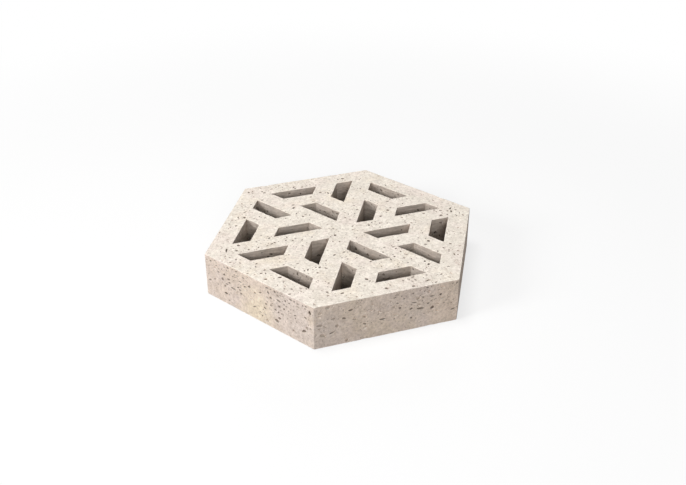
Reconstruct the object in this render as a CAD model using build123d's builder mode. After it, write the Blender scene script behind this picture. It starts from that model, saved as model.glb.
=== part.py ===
from build123d import *
from math import cos, radians, sqrt
import os

# Hexagonal openwork paving slab, cast in one piece of pale concrete.
# Millimetres, +Z up. The origin is the middle of the bottom face, the face it is laid on.
# Two corners lie on the Y axis, and two of the six sides face along the X axis.

# Driving dimensions
side_length = 250.0     # one side of the hexagon, which is also centre to corner
thickness = 80.0
rib_width = 37.0        # concrete between one slot and the next
slot_width = 28.0
border_width = 36.5     # concrete between a side of the slab and the slots along it
edge_arris = 1.0        # worn edge round the top and bottom faces and each slot's mouths

# The ribs follow a lattice of equal triangular cells. Six cells meet at the slab's centre, and
# the far side of each runs along one side of the slab. A cell's sides are the middle lines of
# the ribs around it.
centre_to_side = side_length * cos(radians(30))
cell_height = centre_to_side - border_width + rib_width / 2
cell_side = cell_height / cos(radians(30))
cell_centre_radius = cell_side / sqrt(3)

# Each cell holds three slots, which turn like a pinwheel round a small solid triangle. They lie
# in the triangle that stays half a rib clear of the cell's sides. A slot is a trapezoid whose
# long side starts at one corner of that triangle and stops one rib short of the next slot.
slots_triangle_side = cell_side - rib_width * sqrt(3)
slots_triangle_inradius = slots_triangle_side / (2 * sqrt(3))
slot_length = slots_triangle_side - (slot_width + rib_width) / cos(radians(30))
slot_end_angle = 60     # between the long side and each end, so that the ends run along the ribs

# The middle of the slot along the cell's far side, from the cell's centre
slot_x = slots_triangle_inradius - slot_width / 2
slot_y = (slots_triangle_side - slot_length) / 2

with BuildPart() as slab:
    with BuildSketch():
        RegularPolygon(radius=side_length, side_count=6, rotation=30)
    extrude(amount=thickness)

    with BuildSketch():
        with PolarLocations(cell_centre_radius, 6):
            with PolarLocations(0, 3):
                with Locations((slot_x, slot_y)):
                    Trapezoid(slot_length, slot_width, slot_end_angle, rotation=90)
    extrude(amount=thickness, mode=Mode.SUBTRACT)

    top_and_bottom = slab.faces().filter_by(Axis.Z)
    chamfer(top_and_bottom.edges(), length=edge_arris)

slab.part.label = "slab"

os.makedirs("parts", exist_ok=True)
export_step(slab.part, "parts/slab.step")
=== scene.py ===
import math
import random

import bpy
import numpy as np
from mathutils import Matrix, Vector, noise
from mathutils.geometry import delaunay_2d_cdt


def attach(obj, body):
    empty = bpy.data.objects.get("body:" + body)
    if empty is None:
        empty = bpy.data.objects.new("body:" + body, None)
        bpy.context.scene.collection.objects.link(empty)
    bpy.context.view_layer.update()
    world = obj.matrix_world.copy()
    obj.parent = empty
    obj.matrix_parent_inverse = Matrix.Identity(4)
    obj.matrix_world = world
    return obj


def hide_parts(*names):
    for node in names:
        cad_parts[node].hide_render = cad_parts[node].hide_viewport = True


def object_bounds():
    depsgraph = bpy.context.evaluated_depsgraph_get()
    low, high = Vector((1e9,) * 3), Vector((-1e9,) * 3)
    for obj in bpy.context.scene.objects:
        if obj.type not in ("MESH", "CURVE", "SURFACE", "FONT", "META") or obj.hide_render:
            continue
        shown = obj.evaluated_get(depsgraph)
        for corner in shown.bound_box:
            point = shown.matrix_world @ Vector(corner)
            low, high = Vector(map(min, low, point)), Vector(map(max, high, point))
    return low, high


# A hexagonal openwork paving slab of pale cast concrete, lying on a white floor.
# Metres, +Z up. The origin is the middle of the bottom face, and two corners lie on the Y axis.

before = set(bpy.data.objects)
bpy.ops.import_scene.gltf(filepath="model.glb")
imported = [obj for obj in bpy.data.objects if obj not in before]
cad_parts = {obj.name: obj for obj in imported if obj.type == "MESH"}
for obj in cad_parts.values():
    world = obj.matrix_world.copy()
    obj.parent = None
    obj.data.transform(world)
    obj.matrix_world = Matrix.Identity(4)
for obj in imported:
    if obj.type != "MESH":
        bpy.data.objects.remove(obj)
cad_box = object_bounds()
mm = 0.001
DM2 = 0.01                  # a square decimetre

# The slab, as the model has it
SIDE = (cad_box[1].y - cad_box[0].y) / 2
THICKNESS = cad_box[1].z - cad_box[0].z
RIB_WIDTH = 37 * mm
SLOT_WIDTH = 28 * mm
BORDER_WIDTH = 36.5 * mm

COS30 = math.cos(math.radians(30))
ROOT3 = math.sqrt(3)
SEED = 47                   # of all that is strewn or uneven

# Its surface, which is never quite flat
EDGE_STEP = 3 * mm          # between points along an edge
SURFACE_STEP = 9 * mm       # between loose points inside a face
CLEAR_OF_EDGE = SURFACE_STEP * 0.35     # between these and the face's edges
ROOM_FOR_PIT = 1.3          # kept clear of them round a pit, times its half size,
CLEAR_OF_PIT = 0.6 * mm     # and added to that
EDGE_SHIFT = 0.25           # how far a point along an edge is moved, as a share of the step
SHIFT = 0.2                 # the same for loose points, and for those round a pit
SAME_POINT = 1e-7           # points of a face that are nearer than this are one
AT_A_TIME = 400             # points that are held against the outlines in one go
WAVE = 0.14 * mm            # how far a face dips below flat, at most
WAVES = ((22, 0.7), (90, 0.3))      # how often it waves over a metre, and each wave's share
SHARP_ANGLE = math.radians(38)      # an edge that turns by more is shaded as a sharp one

# Its worn edges
ARRIS = 0.75 * mm           # width of a worn edge on each of its two faces
ARRIS_WAVES = ((70, 0.45), (310, 0.35))     # how that width varies along the edge
ARRIS_ROUND = 0.3           # how far the edge itself is worn back, as a share of that width
CHIPS_PER_METRE = 12
DEEPEST_CHIP = 2.6 * mm     # round the slab
DEEPEST_SLOT_CHIP = 1.7 * mm
CHIP_PLACES = (0.06, 0.94)  # along a side, clear of its corners
CHIP_REACH = (2.5, 5.0)     # millimetres to each side, to which a share of its depth is added
CHIP_SPREAD = 1.5           # that share


# Plan outlines, with the concrete on the left of each

def turned(point, degrees):
    return Matrix.Rotation(math.radians(degrees), 2) @ point


def hexagon_corners():
    front = Vector((0, -SIDE))
    return [turned(front, 60 * k) for k in range(6)]


def slot_outlines():
    """Each triangular cell of the ribs' lattice holds three slots, turned round its middle."""
    cell_side = (SIDE * COS30 - BORDER_WIDTH + RIB_WIDTH / 2) / COS30
    triangle_side = cell_side - RIB_WIDTH * ROOT3
    length = triangle_side - (SLOT_WIDTH + RIB_WIDTH) / COS30
    taper = SLOT_WIDTH / ROOT3
    far = triangle_side / (2 * ROOT3)
    near = far - SLOT_WIDTH
    head = triangle_side / 2
    foot = head - length
    outline = [Vector((far, head)), Vector((far, foot)), Vector((near, foot + taper)),
               Vector((near, head - taper))]
    cell_middle = Vector((cell_side / ROOT3, 0))
    return [[turned(turned(p, 120 * slot) + cell_middle, 60 * cell) for p in outline]
            for cell in range(6) for slot in range(3)]


def put(name, data):
    """A new object in the scene."""
    thing = bpy.data.objects.new(name, data)
    bpy.context.scene.collection.objects.link(thing)
    return thing


# The mesh under construction

class Shell:
    def __init__(self):
        self.points = []    # where each point would be on the sharp, flat solid
        self.places = []    # where it is
        self.pits = []      # painted shade in pits: 0 on the surface, up to 1 on the floor of a pit
        self.wear = []      # 1 on a worn edge, paler there, partly as a painted highlight
        self.faces = []

    def add(self, point, place=None, pit=0.0, wear=0.0):
        self.points.append(point)
        self.places.append(place or point)
        self.pits.append(pit)
        self.wear.append(wear)
        return len(self.points) - 1

    def on_face(self, point, normal):
        """A point of a face, a little below flat."""
        dip = 0.5 + 0.5 * wavy(point, WAVES)
        return self.add(point, point - normal * WAVE * dip)


def wavy(point, waves, mean=0.0):
    """Smooth noise at a point, round a mean value."""
    for often, share in waves:
        mean += share * noise.noise(point * often)
    return mean


def arris_at(point, chips):
    """Width of the worn edge at a point of it: uneven, and wider at a chip."""
    width = ARRIS * wavy(point, ARRIS_WAVES, 1)
    for middle, reach, depth in chips:
        away = (point - middle).length / reach
        if away < 1:
            width += depth * (1 - away ** 2)
    return width


def raised(plan, z):
    return Vector((plan.x, plan.y, z))


class Rim:
    """A sharp edge of the solid, all round one outline, on its top or its bottom."""

    def __init__(self, shell, corners, top, chips, rng):
        self.top = top
        self.edge = []      # points on the edge itself
        self.face = []      # beside them, on the top or bottom face
        self.walls = []     # beside them, on each wall below or above, from corner to corner
        self.corner = []    # the points that are corners
        z = THICKNESS if top else 0.0
        into = Vector((0, 0, -1 if top else 1))
        up = -into
        count = len(corners)
        ways = [(corners[(i + 1) % count] - corners[i]).normalized() for i in range(count)]
        lefts = [Vector((-w.y, w.x)) for w in ways]
        hollow = ways[0].cross(ways[1]) < 0
        firsts, lasts = [], []
        rows = []
        for i in range(count):
            length = (corners[(i + 1) % count] - corners[i]).length
            steps = round(length / EDGE_STEP)
            row = []
            for j in range(steps):
                shift = rng.uniform(-EDGE_SHIFT, EDGE_SHIFT) if j else 0
                plan = corners[i] + ways[i] * length * (j + shift) / steps
                point = raised(plan, z)
                width = arris_at(point, chips)
                side = lefts[i]
                if j == 0:
                    side = (lefts[i - 1] + lefts[i]) / (1 + lefts[i - 1].dot(lefts[i]))
                face_offset = raised(side * width, 0)
                wall_offsets = [into * width]
                if j == 0 and not hollow:
                    wall_offsets = [(into - raised(ways[i - 1], 0)) * width,
                                    (into + raised(ways[i], 0)) * width]
                worn = point + ARRIS_ROUND * sum(wall_offsets, face_offset)
                self.edge.append(shell.add(point, worn, wear=1.0))
                self.face.append(shell.on_face(point + face_offset, up))
                outward = raised(-lefts[i], 0)
                found = [shell.on_face(point + o, outward) for o in wall_offsets]
                if j == 0:
                    self.corner.append(self.edge[-1])
                    lasts.append(found[0])
                    firsts.append(found[-1])
                else:
                    row.append(found[0])
            rows.append(row)
        for i in range(count):
            self.walls.append([firsts[i], *rows[i], lasts[(i + 1) % count]])

    def join_face(self, shell):
        """The arris between the edge and the top or bottom face."""
        edge = self.edge + self.edge[:1]
        face = self.face + self.face[:1]
        if self.top:
            strip(shell, edge, face)
        else:
            strip(shell, face, edge)

    def wall_edges(self):
        """The points on the edge above or below each wall, from corner to corner."""
        around = self.edge + self.edge[:1]
        starts = [self.edge.index(c) for c in self.corner] + [len(self.edge)]
        return [around[a:b + 1] for a, b in zip(starts, starts[1:])]


def strip(shell, right, left):
    """Quads between two rows of points, seen with the first row on the right, going away."""
    for i in range(len(right) - 1):
        shell.faces.append((right[i], right[i + 1], left[i + 1], left[i]))


# Pits, the small holes that air leaves in cast concrete

CLEAR = 0.4 * mm            # kept between a pit and an arris or another pit
RIM_STEP = 0.3 * mm         # sets how many points a rim has, by the pit's half length
RIM_POINTS = (6, 14)        # the fewest and the most
ROUGHNESS = (0.13, 0.10)    # of a rim, as shares of the pit's size, in two and in three waves
SWELL = 1.25                # a little over the most that such a rim goes out beyond its oval
OVAL_POINTS = 24            # round the oval that stands for a pit where pits are kept apart
LEAN = 0.12                 # how far a pit's deepest point may be off its middle
TURN_SPREAD = 14            # degrees, round the way in which most pits of a face are drawn out
MOSTLY_SMALL = 1.8          # the higher, the fewer large pits among those that are strewn
STREWN_DEPTH = (0.7, 1.3)   # of these, as a share of their half width
SMALL_PIT = 1.5 * mm        # half length below which a bowl has fewer rings

# The rings of a bowl, from its rim to its bottom: size, and how far down
BOWL = ((1.0, 0.0), (0.86, 0.45), (0.52, 0.9), (0.0, 1.0))
SMALL_BOWL = ((1.0, 0.0), (0.8, 0.7), (0.0, 1.0))

# Air rises in wet concrete, so few pits are low down
FEW_BELOW = 15 * mm         # height up to which they are fewest
MANY_ABOVE = 44 * mm        # height from which they are as many as they get
FEWEST = 0.06               # share of them that is left below the lower height


class Pit:
    def __init__(self, x, y, length, width, turn, depth, painted_shade):
        self.x, self.y = x, y
        self.length, self.width = length, width     # half sizes
        self.turn = math.radians(turn)
        self.depth = depth
        self.painted_shade = painted_shade        # how much painted shade its inside gets, up to 1

    def rim(self):
        """Points of the oval that its rough rim stays in."""
        a = np.linspace(0, math.tau, OVAL_POINTS, endpoint=False)
        x, y = self.length * SWELL * np.cos(a), self.width * SWELL * np.sin(a)
        c, s = math.cos(self.turn), math.sin(self.turn)
        return np.column_stack((self.x + c * x - s * y, self.y + s * x + c * y))

    def nears(self, points):
        """Whether any of some points is in that oval, or too close to it."""
        x, y = points[:, 0] - self.x, points[:, 1] - self.y
        c, s = math.cos(self.turn), math.sin(self.turn)
        along = (c * x + s * y) / (self.length * SWELL + CLEAR)
        across = (c * y - s * x) / (self.width * SWELL + CLEAR)
        return (along ** 2 + across ** 2 < 1).any()


def pit_rings(pit, rng):
    """Rough ovals, one inside the next, each with how far down it is as a share of the depth."""
    fewest, most = RIM_POINTS
    count = max(fewest, min(most, round(pit.length / RIM_STEP)))
    phase = [rng.uniform(0, math.tau) for _ in range(2)]
    outline = []
    for i in range(count):
        a = math.tau * (i + rng.uniform(-SHIFT, SHIFT)) / count
        swell = 1 + ROUGHNESS[0] * math.sin(2 * a + phase[0])
        swell += ROUGHNESS[1] * math.sin(3 * a + phase[1])
        outline.append(Vector((pit.length * swell * math.cos(a), pit.width * swell * math.sin(a))))
    lean = Vector((rng.uniform(-LEAN, LEAN) * pit.length, rng.uniform(-LEAN, LEAN) * pit.width))
    across = Matrix.Rotation(pit.turn, 2)
    middle = Vector((pit.x, pit.y))
    rings = []
    for share, down in SMALL_BOWL if pit.length < SMALL_PIT else BOWL:
        points = [middle + across @ (p * share + lean * (1 - share)) for p in outline]
        rings.append((points if share else points[:1], down))
    return rings


class Face:
    """One flat face of the solid: its plane, its outlines and its pits."""

    def __init__(self, shell, origin, along, across, loops, rng):
        self.shell = shell
        self.origin, self.along, self.across = origin, along, across
        self.normal = along.cross(across)
        self.loops = loops
        self.rng = rng
        self.pits = []
        flat = [[self.flat(shell.points[i]) for i in loop] for loop in loops]
        self.outlines = [np.array(loop) for loop in flat]
        starts = np.concatenate(self.outlines)
        ends = np.concatenate([np.roll(o, -1, axis=0) for o in self.outlines])
        self.segments = starts, ends
        self.area = abs(sum(np.cross(o, np.roll(o, -1, axis=0)).sum() / 2 for o in self.outlines))

    def flat(self, point):
        away = point - self.origin
        return away.dot(self.along), away.dot(self.across)

    def solid(self, x, y, down=0.0):
        return self.origin + self.along * x + self.across * y - self.normal * down

    def to_outline(self, points):
        """Distance from each of some flat points to the nearest outline."""
        starts, ends = self.segments
        ways = ends - starts
        lengths = (ways ** 2).sum(1)
        nearest = np.full(len(points), np.inf)
        for k in range(0, len(points), AT_A_TIME):
            away = points[k:k + AT_A_TIME, None] - starts
            share = np.clip((away * ways).sum(2) / lengths, 0, 1)
            gap = away - share[..., None] * ways
            nearest[k:k + AT_A_TIME] = np.sqrt((gap ** 2).sum(2)).min(1)
        return nearest

    def inside(self, points):
        """Which of some flat points lie in the concrete."""
        odd = np.zeros(len(points), bool)
        for outline in self.outlines:
            odd ^= within(points, outline)
        return odd

    def try_pit(self, pit):
        """Keeps a pit if it is in the face and clear of the edges and of the other pits."""
        rim = pit.rim()
        if not self.inside(rim).all() or self.to_outline(rim).min() < CLEAR:
            return
        for other in self.pits:
            apart = math.hypot(pit.x - other.x, pit.y - other.y)
            if apart > SWELL * (pit.length + pit.width + other.length + other.width):
                continue
            if other.nears(rim) or pit.nears(other.rim()):
                return
        self.pits.append(pit)

    def scatter(self, per_dm2, smallest, largest, stretch, darkness, turn=None):
        """Pits at random, small ones most often. They are drawn out, by `stretch` at most, along
        `turn` where it is given, and crowd together here and there."""
        low = self.outlines[0].min(0)
        high = self.outlines[0].max(0)
        for _ in range(round(per_dm2 * self.area / DM2)):
            x = self.rng.uniform(low[0], high[0])
            y = self.rng.uniform(low[1], high[1])
            spot = self.solid(x, y)
            risen = (spot.z - FEW_BELOW) / (MANY_ABOVE - FEW_BELOW)
            if self.rng.random() > crowd(spot) * min(1, max(FEWEST, risen)):
                continue
            share = self.rng.random() ** MOSTLY_SMALL
            width = smallest + (largest - smallest) * share
            length = width * self.rng.uniform(1.0, stretch)
            angle = self.rng.uniform(0, 180) if turn is None else self.rng.gauss(turn, TURN_SPREAD)
            depth = width * self.rng.uniform(*STREWN_DEPTH)
            painted_shade = self.rng.uniform(*darkness)
            self.try_pit(Pit(x, y, length, width, angle, depth, painted_shade))

    def fill(self):
        """Triangles over the face round its pits, and the pits' own."""
        shell = self.shell
        ids = []
        flat = []
        edges = []
        owner = []
        closed = []

        def add_loop(loop_ids, loop_flat):
            first = len(ids)
            count = len(loop_ids)
            ids.extend(loop_ids)
            flat.extend(loop_flat)
            edges.extend((first + i, first + (i + 1) % count) for i in range(count))
            owner.extend([len(closed)] * count)
            closed.append(np.array([tuple(p) for p in loop_flat]))

        for loop, outline in zip(self.loops, self.outlines):
            add_loop(loop, [tuple(p) for p in outline])
        for pit in self.pits:
            add_loop(*self.sink(pit))
        for x, y in self.inner_points():
            ids.append(shell.on_face(self.solid(x, y), self.normal))
            flat.append((x, y))
            owner.append(-1)

        result = delaunay_2d_cdt([Vector(p) for p in flat], edges, [], 0, SAME_POINT)
        found, triangles, source = result[0], result[2], result[3]
        known = []
        for place, origins in zip(found, source):
            if origins:
                known.append((ids[origins[0]], owner[origins[0]]))
            else:
                known.append((shell.on_face(self.solid(*place), self.normal), -1))
        for triangle in triangles:
            loops = {known[i][1] for i in triangle}
            if len(loops) == 1 and -1 not in loops:
                loop = loops.pop()
                middle = np.array([sum((found[i] for i in triangle), Vector((0, 0))) / 3])
                if within(middle, closed[loop])[0] != (loop == 0):
                    continue
            shell.faces.append(tuple(known[i][0] for i in triangle))

    def inner_points(self):
        """Loose points that let the face be uneven, clear of its edges and pits."""
        low = self.outlines[0].min(0)
        high = self.outlines[0].max(0)
        rows = np.arange(low[1], high[1], SURFACE_STEP * COS30)
        points = []
        for k, y in enumerate(rows):
            for x in np.arange(low[0] + (k % 2) * SURFACE_STEP / 2, high[0], SURFACE_STEP):
                points.append((x + self.rng.uniform(-SHIFT, SHIFT) * SURFACE_STEP,
                               y + self.rng.uniform(-SHIFT, SHIFT) * SURFACE_STEP))
        points = np.array(points)
        points = points[self.inside(points)]
        points = points[self.to_outline(points) > CLEAR_OF_EDGE]
        for pit in self.pits:
            reach = max(pit.length, pit.width) * ROOM_FOR_PIT + CLEAR_OF_PIT
            points = points[np.hypot(points[:, 0] - pit.x, points[:, 1] - pit.y) > reach]
        return points.tolist()

    def sink(self, pit):
        """Makes a pit's bowl and gives its rim, as points and as flat places."""
        shell = self.shell
        rings = pit_rings(pit, self.rng)
        rim = [shell.on_face(self.solid(p.x, p.y), self.normal) for p in rings[0][0]]
        above = rim
        for points, down in rings[1:]:
            ring = []
            for p in points:
                spot = self.solid(p.x, p.y, down * pit.depth)
                ring.append(shell.add(spot, pit=pit.painted_shade))
            count = len(above)
            for i in range(count):
                k = (i + 1) % count
                if len(ring) == 1:
                    shell.faces.append((above[i], above[k], ring[0]))
                else:
                    shell.faces.append((above[i], above[k], ring[k], ring[i]))
            above = ring
        return rim, [(p.x, p.y) for p in rings[0][0]]


def within(points, outline):
    """Which points lie inside a closed outline, by crossings."""
    x, y = points[:, 0, None], points[:, 1, None]
    x0, y0 = outline[:, 0], outline[:, 1]
    x1, y1 = np.roll(x0, -1), np.roll(y0, -1)
    spans = (y0 > y) != (y1 > y)
    with np.errstate(divide="ignore", invalid="ignore"):
        at = x0 + (y - y0) / (y1 - y0) * (x1 - x0)
    return (spans & (x < at)).sum(1) % 2 == 1


# Pits that the photograph shows: across and up the face from its middle, half length, half width
# and turn. Millimetres and degrees.

TOP_PITS = [
    (17, 236.6, 2.4, 1.8, 0), (-185.5, 13, 2.6, 2.2, 20), (181, 117.5, 3.4, 1.6, 80),
    (183.5, 106.5, 3.6, 1.5, 105), (164, 105.8, 2.3, 2.0, 0), (166.5, 88, 3.0, 2.2, 50),
    (153.8, -9.4, 3.2, 2.0, 110), (-183.5, -106, 5.2, 1.5, 105), (-10.3, -20.4, 3.0, 2.0, 95),
    (58.3, 64, 2.6, 1.8, 30), (-72.6, -173, 2.6, 2.0, 40), (36.8, -200, 2.8, 1.8, 35),
    (12.5, -201.5, 2.4, 1.6, 120), (166.7, -137, 5.0, 1.5, 45), (145.8, -158.2, 2.6, 2.0, 45),
    (-94, -182.5, 2.6, 2.2, 0), (-168, -86, 2.8, 2.0, 150), (-166, -104, 2.6, 1.8, 150),
    (-205, 111, 3.0, 1.4, 120), (-175, 115, 2.2, 2.4, 90), (-39, 203, 2.8, 2.2, 90),
    (-105.8, 65.8, 3.0, 2.0, 60), (149.7, -22.5, 2.4, 1.5, 0), (201.8, -46, 2.8, 1.6, 100),
    (207.5, -34, 2.0, 2.0, 0), (162.5, -86.7, 2.6, 2.0, 60), (104, -172.5, 3.0, 2.2, 20),
    (1.7, -86.7, 2.8, 1.6, 80), (67.5, -151.7, 2.6, 2.6, 0), (-70, 136.7, 1.8, 2.8, 90),
]
LEFT_FRONT_PITS = [
    (1, 34.7, 3.6, 1.7, 0), (23, 34, 3.0, 1.5, 15), (26, 26, 2.4, 2.2, 45), (7, 18, 3.3, 1.4, 20),
    (31, 18, 2.6, 1.9, 10), (49, 20, 3.9, 2.0, 0), (76, 34, 2.6, 1.8, 0), (61, 18, 1.6, 1.6, 0),
    (64, 26, 2.0, 1.5, 30), (61, 9, 2.2, 1.8, 60), (117, 27, 3.2, 2.6, 90),
    (104, -14, 5.0, 1.9, 25), (20, 1, 2.6, 1.4, 30), (17, -8, 2.3, 1.8, 0),
    (-8, -16, 3.2, 1.2, 25), (-39, -4, 2.6, 1.8, 10), (-58, -2, 6.0, 1.6, -5),
    (-68.5, 12, 3.7, 1.5, 10), (-46, 5, 2.7, 1.2, 30), (-73, 1, 2.9, 1.3, 20),
    (-93, 17, 2.4, 1.6, 0), (-116, -8, 3.9, 1.3, 20), (-40, 19, 3.2, 1.4, 10),
    (48, -3, 2.2, 1.5, 40), (109, 35.4, 2.6, 1.3, 0), (102.5, 34, 1.6, 1.2, 90),
    (112, 30, 1.4, 1.4, 0), (-48, 36, 2.0, 1.6, 0),
]
RIGHT_FRONT_PITS = [
    (69, 36, 2.2, 1.2, -15), (17, 17, 2.2, 1.3, -20), (46, 12, 3.9, 1.2, -5),
    (21.5, 7, 2.6, 1.5, -30), (71.5, 5, 2.6, 1.3, 0), (41.5, 1, 2.6, 1.8, 0),
    (58, -2, 6.6, 1.5, -4), (79, -4.5, 3.3, 2.3, 20), (-8.5, -8, 4.6, 1.6, -5),
    (-39, -10, 2.6, 1.5, -20), (-74, 9, 3.6, 1.4, -10),
    (-63, 22, 3.1, 1.8, 0), (-94, -14, 5.0, 1.3, 25), (116.5, -16, 3.5, 1.5, 15),
    (78, 18, 4.6, 1.2, -3), (93, 18, 1.5, 2.6, 90), (62, 19, 1.8, 1.3, 0), (28, 23, 1.8, 1.3, 0),
    (44, 30, 1.8, 1.4, 0), (64, 30, 1.6, 1.3, 0), (24, 29, 1.6, 1.2, 0), (42, -17, 2.0, 1.4, -30),
    (121, 34.5, 1.3, 1.7, 0), (31.5, -9, 1.6, 1.2, 0), (12, -12, 1.6, 1.2, -30),
    (100, 0, 1.5, 1.1, 0),
]
NOTED_DEPTH = 1.3           # of these pits, as a share of their half width
NOTED_SPREAD = 1.2          # their size at the rim, as a share of that of their dark middle
NOTED_DARKNESS = 0.5        # painted shade of a very narrow one, to which the next adds for each millimetre
DARKER_WHEN_WIDE = 0.2      # of half width

# Pits strewn over each face: how many are tried on a square decimetre, smallest and largest half
# width, how far they are drawn out at most, least and most painted shade in them, and which way
# they lie
TOP_STREWN = (300, 0.75 * mm, 2.1 * mm, 1.9, (0.25, 0.95))
BOTTOM_STREWN = (1200, 0.8 * mm, 2.4 * mm, 1.5, (0.4, 1.0))
SLOT_STREWN = (110, 0.9 * mm, 2.6 * mm, 1.6, (0.3, 0.9))
LEFT_FRONT_STREWN = (370, 1.1 * mm, 3.3 * mm, 2.0, (0.25, 0.95), 15)
RIGHT_FRONT_STREWN = (370, 1.1 * mm, 3.3 * mm, 2.0, (0.0, 0.5), -10)
OTHER_SIDE_STREWN = (370, 1.1 * mm, 2.5 * mm, 2.0, (0.2, 0.8), 0)

# The two sides that the photograph shows, by their place in the outline
SIDES_SEEN = {5: (LEFT_FRONT_PITS, LEFT_FRONT_STREWN), 0: (RIGHT_FRONT_PITS, RIGHT_FRONT_STREWN)}

CROWD_MEAN = 0.42           # share kept of the strewn pits that are tried
CROWD_WAVES = ((24, 1.0),)  # how that share varies from place to place
CROWD_MORE = 0.6            # what is added in the middle of a crowded place
CROWD_LEAST = 0.08

# Where the photograph shows more pits than elsewhere: middle and reach
CROWDED = [
    ((-50 * mm, -221 * mm, 50 * mm), 62 * mm), ((-170 * mm, -152 * mm, 56 * mm), 45 * mm),
    ((166 * mm, -154 * mm, 58 * mm), 60 * mm), ((180 * mm, 100 * mm, 80 * mm), 45 * mm),
    ((165 * mm, -115 * mm, 80 * mm), 60 * mm), ((-165 * mm, -100 * mm, 80 * mm), 45 * mm),
]


def crowd(point):
    """Share that is kept of the pits tried at a point."""
    share = wavy(point, CROWD_WAVES, CROWD_MEAN)
    for middle, reach in CROWDED:
        away = (point - Vector(middle)).length / reach
        share += CROWD_MORE * max(0, 1 - away ** 2)
    return min(1, max(CROWD_LEAST, share))


def noted(rows):
    """Pits from one of the lists above. The wider ones are also deeper and get more painted shade.
    """
    grow = NOTED_SPREAD * mm
    return [Pit(x * mm, y * mm, a * grow, b * grow, turn, NOTED_DEPTH * b * mm,
                min(1, NOTED_DARKNESS + b * DARKER_WHEN_WIDE)) for x, y, a, b, turn in rows]


# The whole mesh

def chips_along(corners, z, per_metre, deepest, rng):
    """Places where an edge has lost a little more: middle, reach and depth."""
    chips = []
    count = len(corners)
    for i in range(count):
        start, end = corners[i], corners[(i + 1) % count]
        length = (end - start).length
        for _ in range(round(per_metre * length + rng.random())):
            share = rng.uniform(*CHIP_PLACES)
            depth = deepest * rng.random() ** 2
            reach = rng.uniform(*CHIP_REACH) * mm + CHIP_SPREAD * depth
            chips.append((raised(start.lerp(end, share), z), reach, depth))
    return chips


def build_slab():
    rng = random.Random(SEED)
    shell = Shell()
    tops, bottoms, faces = [], [], []
    for n, corners in enumerate([hexagon_corners()] + slot_outlines()):
        outside = n == 0
        deepest = DEEPEST_CHIP if outside else DEEPEST_SLOT_CHIP
        chips = chips_along(corners, THICKNESS, CHIPS_PER_METRE, deepest, rng)
        tops.append(Rim(shell, corners, True, chips, rng))
        chips = chips_along(corners, 0.0, CHIPS_PER_METRE, deepest, rng)
        bottoms.append(Rim(shell, corners, False, chips, rng))
        faces += walls(shell, corners, tops[-1], bottoms[-1], outside, rng)
    for rim in tops + bottoms:
        rim.join_face(shell)

    x_way, y_way, z_way = Vector((1, 0, 0)), Vector((0, 1, 0)), Vector((0, 0, 1))
    top = Face(shell, z_way * THICKNESS, x_way, y_way, [rim.face for rim in tops], rng)
    for pit in noted(TOP_PITS):
        top.try_pit(pit)
    top.scatter(*TOP_STREWN)
    bottom = Face(shell, z_way * 0, x_way, -y_way, [rim.face for rim in bottoms], rng)
    bottom.scatter(*BOTTOM_STREWN)
    for face in [top, bottom] + faces:
        face.fill()
    return shell


def upright_edges(shell, corners, outside):
    """For each corner, the points up its edge and up the walls before and after it. A slot's
    corners aren't worn, and there all three are the same."""
    steps = round(THICKNESS / EDGE_STEP)
    heights = [THICKNESS * k / steps for k in range(1, steps)]
    found = []
    for i, corner in enumerate(corners):
        before = raised((corner - corners[i - 1]).normalized(), 0)
        after = raised((corners[(i + 1) % len(corners)] - corner).normalized(), 0)
        out_before = Vector((before.y, -before.x, 0))
        out_after = Vector((after.y, -after.x, 0))
        edge, lefts, rights = [], [], []
        for z in heights:
            point = raised(corner, z)
            if outside:
                width = arris_at(point, [])
                worn = point + ARRIS_ROUND * width * (after - before)
                edge.append(shell.add(point, worn, wear=1.0))
                lefts.append(shell.on_face(point - before * width, out_before))
                rights.append(shell.on_face(point + after * width, out_after))
            else:
                edge.append(shell.add(point))
        found.append((edge, lefts, rights) if outside else (edge, edge, edge))
    return found


def walls(shell, corners, top, bottom, outside, rng):
    """The upright faces along one outline, with the arrises round them."""
    uprights = upright_edges(shell, corners, outside)
    faces = []
    for i in range(len(corners)):
        k = (i + 1) % len(corners)
        left_edge, _, left = uprights[i]
        right_edge, right, _ = uprights[k]
        strip(shell, bottom.wall_edges()[i], bottom.walls[i])
        strip(shell, top.walls[i], top.wall_edges()[i])
        if outside:
            strip(shell, [bottom.walls[i][0], *left, top.walls[i][0]],
                  [bottom.corner[i], *left_edge, top.corner[i]])
            strip(shell, [bottom.corner[k], *right_edge, top.corner[k]],
                  [bottom.walls[i][-1], *right, top.walls[i][-1]])
        around = bottom.walls[i] + right + top.walls[i][::-1] + left[::-1]
        middle = raised((corners[i] + corners[k]) / 2, THICKNESS / 2)
        along = raised((corners[k] - corners[i]).normalized(), 0)
        face = Face(shell, middle, along, Vector((0, 0, 1)), [around], rng)
        if outside:
            seen, strewn = SIDES_SEEN.get(i, ([], OTHER_SIDE_STREWN))
            for pit in noted(seen):
                face.try_pit(pit)
            face.scatter(*strewn)
        else:
            face.scatter(*SLOT_STREWN)
        faces.append(face)
    return faces


SLOT_MOUTH_SHADE = 0.76      # of the painted shade deep in a slot, the share just inside its mouths
ON_FACE = 0.01 * mm         # a point less far from the top or bottom face is on it


def how_far_in(point):
    """Mask of the painted shade and the streaks in the slots: 1 deep inside a slot, 0 at its
    mouths and on every outer face.
    """
    across = max(abs(point.dot(turned(Vector((1, 0)), a).to_3d())) for a in (0, 60, 120))
    if across > SIDE * COS30 - BORDER_WIDTH / 2:
        return 0.0
    depth = min(point.z, THICKNESS - point.z)
    if depth < ON_FACE:
        return 0.0
    return SLOT_MOUTH_SHADE + (1 - SLOT_MOUTH_SHADE) * depth / (THICKNESS / 2)


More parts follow.
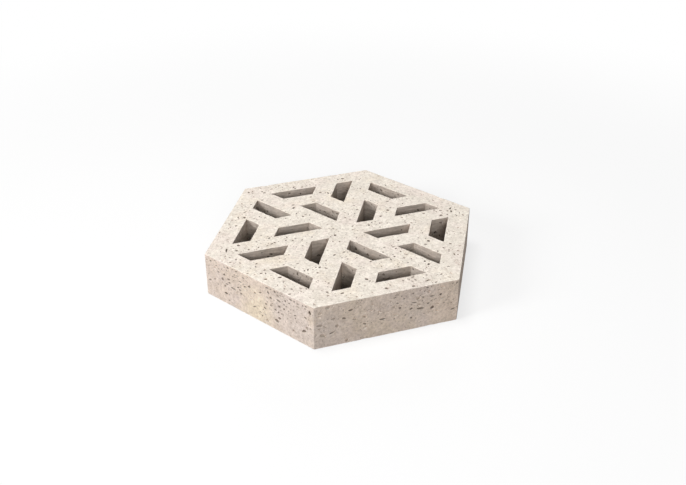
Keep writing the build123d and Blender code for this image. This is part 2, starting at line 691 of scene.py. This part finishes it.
def make_slab():
    shell = build_slab()
    mesh = bpy.data.meshes.new("cast_slab")
    mesh.from_pydata([tuple(p) for p in shell.places], [], shell.faces)
    slot_shade_and_streaks = [how_far_in(p) for p in shell.points]
    for name, values in (("pit", shell.pits), ("wear", shell.wear), ("slot_shade_and_streaks", slot_shade_and_streaks)):
        mesh.attributes.new(name, "FLOAT", "POINT").data.foreach_set("value", values)
    mesh.polygons.foreach_set("use_smooth", [True] * len(mesh.polygons))
    mesh.set_sharp_from_angle(angle=SHARP_ANGLE)
    mesh.validate()
    slab = put("cast_slab", mesh)
    weighted = slab.modifiers.new("even_normals", "WEIGHTED_NORMAL")
    weighted.keep_sharp = True
    weighted.weight = 100
    return slab


# Material

# The top is paler and less saturated than the sides: painted light, as it falls on the top.
TOP_CREAM_PAINTED_LIT = (0.893, 0.82, 0.723, 1)
SIDE_CREAM = (0.87, 0.728, 0.618, 1)
YELLOW = (0.94, 0.79, 0.60, 1)
PINK = (0.88, 0.755, 0.69, 1)
YELLOW_STAIN = (0.97, 0.83, 0.65, 1)
TAN_STAIN = (0.95, 0.785, 0.655, 1)
LILAC_STAIN = (0.82, 0.705, 0.632, 1)
# painted shade, darkest deep inside the slots
SLOT_PAINTED_SHADE = (0.36, 0.32, 0.28, 1)
WORN_AND_HIGHLIGHT = (0.93, 0.88, 0.81, 1)
GRIT = (0.56, 0.53, 0.50, 1)    # this and the next multiply the colour around them
# painted shade, in the pits and pinholes
PIT_SHADE = (0.22, 0.19, 0.165, 1)
WHITE = (1.0, 1.0, 1.0, 1)

TOP_PATCHES = 0.7           # how strong the patches are on top, compared with the sides
BUMP_HEIGHT = 1 * mm

# How many of each feature there are over a metre, about
YELLOW_PATCHES, PINK_PATCHES, STAIN_EDGES = 14, 17, 45
CLOUDS, GRAINS, SAND = 48, 230, 900
GRIT_CELLS, PINHOLE_CELLS = 190, 210
WEAR_AND_HIGHLIGHT_PATCHES, SLOT_SHADE_PATCHES, STREAKS = 120, 35, 55
FINE_BUMPS, COARSE_BUMPS, GLOSS_PATCHES = 850, 220, 300
STREAKS_FLATTER = 7         # how much flatter the streaks on the slots' walls are than wide

# Stains that the photograph shows, low on the left front side, at its right end, at the right end
# of the right front side and at the foot of the front corner: middle, reach, colour and strength
STAINS = [
    ((-108 * mm, -187 * mm, 20 * mm), 52 * mm, YELLOW_STAIN, 0.95),
    ((-38 * mm, -228 * mm, 44 * mm), 75 * mm, LILAC_STAIN, 0.8),
    ((197 * mm, -136 * mm, 34 * mm), 52 * mm, TAN_STAIN, 0.9),
    ((0, -250 * mm, 5 * mm), 65 * mm, LILAC_STAIN, 0.6),
]


class Nodes:
    """Nodes of a material or the world, each made and wired by what is given for its sockets."""

    def __init__(self, tree):
        self.tree = tree

    def add(self, kind, sockets=None, **settings):
        node = self.tree.nodes.new("ShaderNode" + kind)
        for name, value in settings.items():
            setattr(node, name, value)
        for name, value in (sockets or {}).items():
            if isinstance(value, bpy.types.NodeSocket):
                self.tree.links.new(value, node.inputs[name])
            else:
                node.inputs[name].default_value = value
        return node

    def noise(self, where, scale, detail=2.0, roughness=0.5):
        """Smooth noise, mostly between 0.25 and 0.75."""
        sockets = {"Vector": where, "Scale": scale, "Detail": detail, "Roughness": roughness}
        return self.add("TexNoise", sockets).outputs["Fac"]

    def ramp(self, value, low, high, to_low=0.0, to_high=1.0):
        """The value stretched so that low and high become to_low and to_high."""
        sockets = {"Value": value, "From Min": low, "From Max": high,
                   "To Min": to_low, "To Max": to_high}
        return self.add("MapRange", sockets, interpolation_type="SMOOTHSTEP").outputs["Result"]

    def cells(self, where, scale, by, to_reach, to_share):
        """Spots strewn one to a cell. A cell's random colour, of which one channel is used, is
        stretched to how far its spot reaches, and what is left of that to how strong it is."""
        spots = self.add("TexVoronoi", {"Vector": where, "Scale": scale}, feature="F1")
        pick = self.add("SeparateColor", {0: spots.outputs["Color"]})
        reach = self.ramp(pick.outputs[by], *to_reach)
        return self.ramp(self.math("SUBTRACT", reach, spots.outputs["Distance"]), *to_share)

    def math(self, operation, a, b=0.0):
        return self.add("Math", {0: a, 1: b}, operation=operation).outputs[0]

    def mix(self, share, a, b, blend="MIX"):
        node = self.add("Mix", data_type="RGBA", blend_type=blend, clamp_factor=True)
        for socket, value in ((0, share), (6, a), (7, b)):
            if isinstance(value, bpy.types.NodeSocket):
                self.tree.links.new(value, node.inputs[socket])
            else:
                node.inputs[socket].default_value = value
        return node.outputs[2]

    def shade(self, value):
        """A tone to multiply a colour by, warmer as it gets darker."""
        green = self.math("POWER", value, 1.07)
        blue = self.math("POWER", value, 1.15)
        return self.add("CombineColor", {"Red": value, "Green": green, "Blue": blue}).outputs[0]

    def attribute(self, name):
        return self.add("Attribute", attribute_name=name).outputs["Fac"]

    def seen(self):
        """1 for rays from the camera, and for those that metal or glass sends on, else 0."""
        path = self.add("LightPath").outputs
        sent_on = self.math("MAXIMUM", path["Is Glossy Ray"], path["Is Transmission Ray"])
        return self.math("MAXIMUM", path["Is Camera Ray"], sent_on)


def cast_colour(n, where, shifted):
    """Cream, paler on top than on the sides as painted light, with yellow and pink patches and the
    stains.
    """
    normal = n.add("SeparateXYZ", {0: n.add("TexCoord").outputs["Normal"]}).outputs["Z"]
    # painted light: the top is paler than the sides
    on_top = n.ramp(normal, 0.3, 0.8)
    on_side = n.math("SUBTRACT", 1.0, on_top)
    patchy = n.ramp(on_top, 0, 1, 1.0, TOP_PATCHES)
    yellow = n.ramp(n.noise(where, YELLOW_PATCHES, 3, 0.7), 0.48, 0.75, 0, 0.5)
    pink = n.ramp(n.noise(shifted, PINK_PATCHES, 3, 0.7), 0.45, 0.7, 0, 0.62)
    colour = n.mix(on_top, SIDE_CREAM, TOP_CREAM_PAINTED_LIT)
    colour = n.mix(n.math("MULTIPLY", patchy, yellow), colour, YELLOW)
    colour = n.mix(n.math("MULTIPLY", patchy, pink), colour, PINK)
    for middle, reach, tint, strength in STAINS:
        away = n.add("VectorMath", {0: where, 1: middle}, operation="DISTANCE").outputs["Value"]
        ragged = n.ramp(n.noise(where, STAIN_EDGES, 3), 0.3, 0.7, -0.2 * reach, 0.2 * reach)
        near = n.ramp(n.math("ADD", away, ragged), 0.2 * reach, reach, strength, 0)
        colour = n.mix(n.math("MULTIPLY", on_side, near), colour, tint)
    return colour


def with_sand_and_grit(n, where, colour):
    """A cloudy tone, grains of sand, and scattered darker grit."""
    cloud = n.ramp(n.noise(where, CLOUDS, 4, 0.7), 0.25, 0.75, 0.90, 1.07)
    grain = n.ramp(n.noise(where, GRAINS, 2, 0.6), 0.25, 0.75, 0.85, 1.13)
    sand = n.ramp(n.noise(where, SAND, 2, 0.7), 0.2, 0.8, 0.9, 1.1)
    tone = n.math("MULTIPLY", n.math("MULTIPLY", cloud, grain), sand)
    colour = n.mix(1.0, colour, n.shade(tone), "MULTIPLY")
    grit = n.cells(where, GRIT_CELLS, "Red", (0.25, 1.0, 0.05, 0.3), (0.0, 0.09, 0, 0.6))
    return n.mix(grit, colour, GRIT, "MULTIPLY")


def with_wear_and_painted_shade(n, where, colour):
    """Paler worn edges, partly a painted highlight; painted shade deep in the slots, and streaks
    on their walls; and painted shade in the pits.
    """
    # paler worn edges: partly real wear, partly a painted highlight along the arris
    patchy = n.ramp(n.noise(where, WEAR_AND_HIGHLIGHT_PATCHES), 0.3, 0.7, 0.1, 0.5)
    colour = n.mix(n.math("MULTIPLY", n.attribute("wear"), patchy), colour, WORN_AND_HIGHLIGHT)
    slot_shade_and_streaks = n.attribute("slot_shade_and_streaks")
    # painted shade deep in the slots, patchy, growing from the mouths to mid depth
    patchy = n.ramp(n.noise(where, SLOT_SHADE_PATCHES, 3), 0.2, 0.8, 0.7, 1.0)
    colour = n.mix(n.math("MULTIPLY", slot_shade_and_streaks, patchy), colour, SLOT_PAINTED_SHADE)
    layered = n.add("VectorMath", {0: where, 1: (1, 1, STREAKS_FLATTER)}, operation="MULTIPLY")
    streak = n.ramp(n.noise(layered.outputs[0], STREAKS, 3, 0.6), 0.25, 0.75, 0.75, 1.24)
    colour = n.mix(slot_shade_and_streaks, colour, n.shade(streak), "MULTIPLY")
    # painted shade in the pits' bowls
    return n.mix(n.math("MULTIPLY", n.attribute("pit"), 0.95), colour, PIT_SHADE, "MULTIPLY")


def concrete():
    material = bpy.data.materials.new("pale_concrete")
    material.use_nodes = True
    n = Nodes(material.node_tree)
    where = n.add("TexCoord").outputs["Object"]
    shifted = n.add("VectorMath", {0: where, 1: (0.4, 0.7, 0.2)}).outputs[0]

    # Pinholes too small for the mesh: dents in the bump, and painted shade in the colour
    pinhole = n.cells(shifted, PINHOLE_CELLS, "Green", (0.35, 1.0, 0.0, 0.2), (0.0, 0.04, 0, 1))

    colour = cast_colour(n, where, shifted)
    colour = with_sand_and_grit(n, where, colour)
    # painted shade in the pinholes
    colour = n.mix(n.math("MULTIPLY", pinhole, 0.5), colour, PIT_SHADE, "MULTIPLY")
    colour = with_wear_and_painted_shade(n, where, colour)

    fine = n.math("MULTIPLY", n.noise(where, FINE_BUMPS, 3, 0.7), 0.25)
    coarse = n.math("MULTIPLY", n.noise(where, COARSE_BUMPS, 3, 0.6), 0.35)
    height = n.math("SUBTRACT", n.math("ADD", fine, coarse), n.math("MULTIPLY", pinhole, 0.35))
    bump = n.add("Bump", {"Height": height, "Distance": BUMP_HEIGHT, "Strength": 0.8})
    rough = n.ramp(n.noise(where, GLOSS_PATCHES, 2), 0.3, 0.7, 0.82, 0.96)

    shader = material.node_tree.nodes["Principled BSDF"]
    shader.inputs["Specular IOR Level"].default_value = 0.25
    material.node_tree.links.new(colour, shader.inputs["Base Color"])
    material.node_tree.links.new(rough, shader.inputs["Roughness"])
    material.node_tree.links.new(bump.outputs["Normal"], shader.inputs["Normal"])
    return material


# Camera, floor and light

# The photograph's view, from a pinhole camera fitted to it
CAMERA_AIM = (0, 0, 54.3 * mm)
CAMERA_AZIMUTH = math.radians(10.64)    # from the front, towards +X
CAMERA_ELEVATION = math.radians(30.31)
CAMERA_DISTANCE = 1.6395
LENS, SENSOR_WIDTH = 47.89, 36          # plain millimetres, not metres


def make_camera():
    level = math.cos(CAMERA_ELEVATION)
    back = Vector((math.sin(CAMERA_AZIMUTH) * level, -math.cos(CAMERA_AZIMUTH) * level,
                   math.sin(CAMERA_ELEVATION)))
    data = bpy.data.cameras.new("camera")
    data.sensor_width = SENSOR_WIDTH
    data.lens = LENS
    camera = put("camera", data)
    camera.location = Vector(CAMERA_AIM) + back * CAMERA_DISTANCE
    camera.rotation_euler = back.to_track_quat("Z", "Y").to_euler()
    bpy.context.scene.camera = camera


FLOOR_REACH = 20.0
FLOOR_BELOW = 0.05 * mm     # keeps the floor just clear of the bottom face
FLOOR_BOUNCE = (0.14, 0.135, 0.13, 1)       # what the slab gets back from the floor
FLOOR_WHITE = 0.72          # of the floor as the camera sees it, the share that takes no shadow
FLOOR_FADE = (0.6, 1.6)     # from where that share grows, and where the floor is plain white


def make_floor():
    """A pale floor. What the camera sees of it is white, with a soft shadow near the slab."""
    mesh = bpy.data.meshes.new("floor")
    reach = FLOOR_REACH
    corners = [(-reach, -reach, 0), (reach, -reach, 0), (reach, reach, 0), (-reach, reach, 0)]
    mesh.from_pydata(corners, [], [(0, 1, 2, 3)])
    floor = put("floor", mesh)
    floor.location.z = -FLOOR_BELOW
    material = bpy.data.materials.new("floor_white")
    material.use_nodes = True
    tree = material.node_tree
    shader = tree.nodes["Principled BSDF"]
    shader.inputs["Roughness"].default_value = 1.0
    shader.inputs["Specular IOR Level"].default_value = 0.0
    n = Nodes(tree)
    seen = n.seen()
    tree.links.new(n.mix(seen, FLOOR_BOUNCE, WHITE), shader.inputs["Base Color"])
    white = n.add("Emission", {"Color": WHITE, "Strength": 1.0}).outputs[0]
    away = n.add("VectorMath", {0: n.add("TexCoord").outputs["Object"]}, operation="LENGTH")
    white_share = n.ramp(away.outputs["Value"], *FLOOR_FADE, FLOOR_WHITE, 1.0)
    share = n.math("MULTIPLY", seen, white_share)
    mixed = n.add("MixShader", {0: share, 1: shader.outputs[0], 2: white}).outputs[0]
    tree.links.new(mixed, tree.nodes["Material Output"].inputs["Surface"])
    mesh.materials.append(material)


AMBIENT = 0.085             # strength of the world's even light

# Square soft boxes that face the slab: name, angle in plan from +X, elevation, distance, size
# and power
SOFT_BOXES = [
    ("left_strip", 220, 27, 5, 1.6, 141),
    ("front_strip", 285, 22, 5, 1.6, 87),
    ("right_fill", 350, 22, 5, 1.6, 9),
    ("back_fill", 90, 22, 5, 1.6, 45),
    ("top_box", 195, 82, 2.5, 0.9, 27.5),
]


def soft_box(name, plan_angle, elevation, distance, size, power):
    a, e = math.radians(plan_angle), math.radians(elevation)
    away = Vector((math.cos(a) * math.cos(e), math.sin(a) * math.cos(e), math.sin(e)))
    data = bpy.data.lights.new(name, "AREA")
    data.size = size
    data.energy = power
    light = put(name, data)
    light.location = away * distance
    light.rotation_euler = away.to_track_quat("Z", "Y").to_euler()


def make_world():
    world = bpy.data.worlds.new("studio")
    bpy.context.scene.world = world
    world.use_nodes = True
    tree = world.node_tree
    ambient = tree.nodes["Background"]
    ambient.inputs["Color"].default_value = WHITE
    ambient.inputs["Strength"].default_value = AMBIENT
    n = Nodes(tree)
    white = n.add("Background", {"Color": WHITE, "Strength": 1.0})
    mix = n.add("MixShader", {0: n.seen(), 1: ambient.outputs[0], 2: white.outputs[0]})
    tree.links.new(mix.outputs[0], tree.nodes["World Output"].inputs["Surface"])


make_camera()
slab = make_slab()
slab.data.materials.append(concrete())
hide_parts("slab")
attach(slab, "root")
make_floor()
make_world()
for row in SOFT_BOXES:
    soft_box(*row)
bpy.context.scene.view_settings.view_transform = "Standard"
